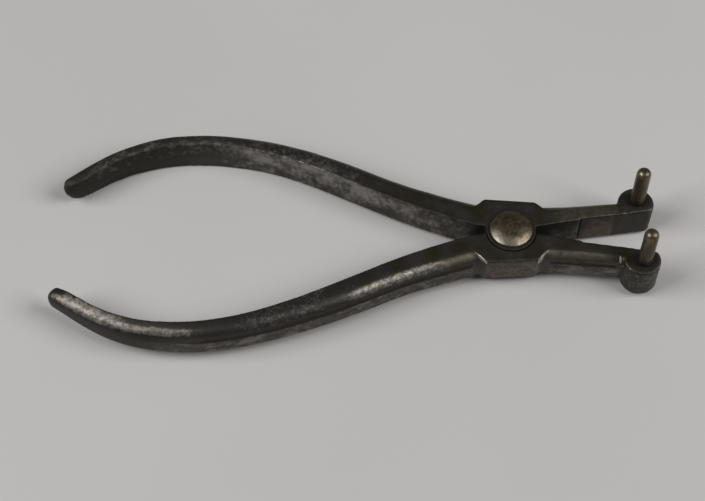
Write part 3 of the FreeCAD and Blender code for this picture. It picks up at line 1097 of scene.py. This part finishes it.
for node_name in ("pin_rear", "pin_front"):
    low, high = box_of(node_name)
    pin_r = 0.5 * (high[0] - low[0])
    pin_x, pin_y = upright_axis(node_name)
    dome_foot = high[2] - pin_r
    profile = [(SPIGOT_R, low[2]), (SPIGOT_R, BOSS_TOP), (pin_r - STEM_BREAK, BOSS_TOP), (pin_r, stem_foot)]
    steps = round((dome_foot - BOSS_TOP) / STEM_STEP)
    for step in range(1, steps + 1):
        profile.append((pin_r, stem_foot + (dome_foot - stem_foot) * step / steps))
    for step in range(1, DOME_RINGS + 1):
        angle = math.radians(90) * step / DOME_RINGS
        radius = max(pin_r * math.cos(angle) ** (2 / DOME_POWER), LAST_RING_R)
        profile.append((radius, dome_foot + pin_r * math.sin(angle) ** (2 / DOME_POWER)))
    pin = turned_piece(node_name + "_rod", pin_x, pin_y, profile, PIN_SEGMENTS)
    height = points_and_normals(pin)[0][:, 2]
    weigh(pin, "shown", ramp(height, BOSS_TOP, BOSS_TOP + 1.0))
    press(pin, "shown", PIN_WAVE, lumps(node_name + "_wave", PIN_WAVE_SIZE), middle=1.0)
    pin.vertex_groups.clear()
    pins[node_name] = pin
    print(pin.name, round(2 * pin_r, 2), "mm thick, top at", round(float(high[2]), 2))

# %% [markdown]
# Both metals are the same idea with different numbers: a warm brown bronze-like tarnish
# over steel, broken by clouds, with clean polished metal where something rubs. On the
# rivet that is the outer part of the dome, and on the pins it is the round end. A painted
# highlight is added to the same share: the dome is brighter on its front side and less so
# towards the jaws, and each pin is brighter on the side that faces +X. The rivet has
# painted shade under its rim, and the pins dirt at their foot. The clean share is painted
# by place, as on the levers, and the streaks of the pins run along the rod.

# %% Materials of the rivet and the pins
BRONZE_DARK = (0.080, 0.064, 0.042, 1.0)
BRONZE_BROWN = (0.15, 0.118, 0.078, 1.0)
BRONZE_WORN = (0.20, 0.165, 0.114, 1.0)
POLISHED_AND_HIGHLIGHT = (0.235, 0.203, 0.155, 1.0)
SHADE_AND_DIRT_BROWN = (0.022, 0.017, 0.011, 1.0)
SPECK_SIZE = 0.35 * MM
TARNISH_BUMP = 0.12
TARNISH_HEIGHT = 0.08 * MM
RIVET_TARNISH = {"cloud_size": 2.4 * MM, "stretch": 1.0, "patchy": 0.7, "dullest": 0.47, "glossiest": 0.42}
PIN_TARNISH = {"cloud_size": 2.6 * MM, "stretch": 0.25, "patchy": 1.1, "dullest": 0.44, "glossiest": 0.28}
DOME_CLEAN = (0.30, 0.80)    # from the middle outwards, as a share of the head's radius
DOME_FRONT = (2.0, -3.0)     # a painted highlight, brighter on the side of the front lever
DOME_RIGHT = (0.0, 4.0)      # and a little less bright towards the jaws
ABOVE_RIM = (HEAD_FOOT + 0.2, HEAD_FOOT + 0.6)
UNDER_RIM = (HEAD_FOOT + RIM_HEIGHT, HEAD_FOOT + CROWN_CLEAR)
PIN_CLEAN = {"pin_rear": 0.2, "pin_front": 0.28}
PIN_HIGHLIGHT_LEAN = (0.2, 0.9)
PIN_CLEAN_END = (26.0, 29.5)
PIN_GRIMY_FOOT = (14.2, 12.9)


def tarnished(name, cloud_size, stretch, patchy, dullest, glossiest):
    """Brown tarnish over worn metal; the mesh says where wear and a painted highlight brighten it, and
    where dirt and painted shade darken it.
    """
    material, tree, shader, place = new_material(name)
    rod = node(tree, "ShaderNodeMapping", {}, place, None, None, (1.0, 1.0, stretch))
    clouds = noise(tree, rod, cloud_size, detail=4.0, roughness=0.6)
    fray = noise(tree, rod, 0.3 * cloud_size, detail=4.0, roughness=0.65)
    specks = noise(tree, place, SPECK_SIZE, detail=2.0)
    frayed = fray - 0.5
    wear_and_highlight = painted(tree, "wear_and_highlight")
    grime = painted(tree, "grime")
    worn = (wear_and_highlight + patchy * (clouds - 0.5) + 0.5 * frayed).between(0.25, 0.95)
    dirt_and_shade_cover = (grime + 0.6 * frayed).between(0.3, 0.8)
    colour = layered(tree, BRONZE_BROWN,
                     ((clouds + 0.5 * frayed).between(0.60, 0.36), BRONZE_DARK),
                     (worn, BRONZE_WORN),
                     ((worn * wear_and_highlight + 0.5 * frayed).between(0.40, 0.95), POLISHED_AND_HIGHLIGHT),
                     (dirt_and_shade_cover, SHADE_AND_DIRT_BROWN))
    rough = dullest + (glossiest - dullest) * worn + 0.1 * frayed + 0.2 * dirt_and_shade_cover
    height = 0.6 * fray + 0.4 * specks
    bump = node(tree, "ShaderNodeBump", {}, TARNISH_BUMP, TARNISH_HEIGHT, None, height)
    feed(tree, shader, Base_Color=colour, Roughness=rough, Metallic=1.0 - 0.3 * dirt_and_shade_cover, Normal=bump)
    return material


x, y, z = points_and_normals(rivet)[0].T
outer_dome = ramp(np.hypot(x, y) / head_r, *DOME_CLEAN)
# painted highlight: the dome is brighter on its front side
highlight_side = (0.35 + 0.65 * ramp(y, *DOME_FRONT)) * (1.0 - 0.3 * ramp(x, *DOME_RIGHT))
paint(rivet, "wear_and_highlight", outer_dome * highlight_side * ramp(z, *ABOVE_RIM))
# painted shade under the rim of the head
paint(rivet, "grime", ramp(z, *UNDER_RIM))
rivet.data.materials.append(tarnished("rivet_steel", **RIVET_TARNISH))
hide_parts("pivot_rivet")
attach(rivet, "front")

pin_material = tarnished("pin_steel", **PIN_TARNISH)
for node_name, pin in pins.items():
    points, normals = points_and_normals(pin)
    z = points[:, 2]
    # a painted highlight on the side of each pin that faces +X
    pin_highlight_side = ramp(normals[:, 0], *PIN_HIGHLIGHT_LEAN)
    paint(pin, "wear_and_highlight", PIN_CLEAN[node_name] + 0.45 * pin_highlight_side + 0.3 * ramp(z, *PIN_CLEAN_END))
    paint(pin, "grime", 0.9 * ramp(z, *PIN_GRIMY_FOOT))
    pin.data.materials.append(pin_material)
    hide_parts(node_name)
    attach(pin, "rear" if node_name == "pin_rear" else "front")
print("rivet and pins dressed")
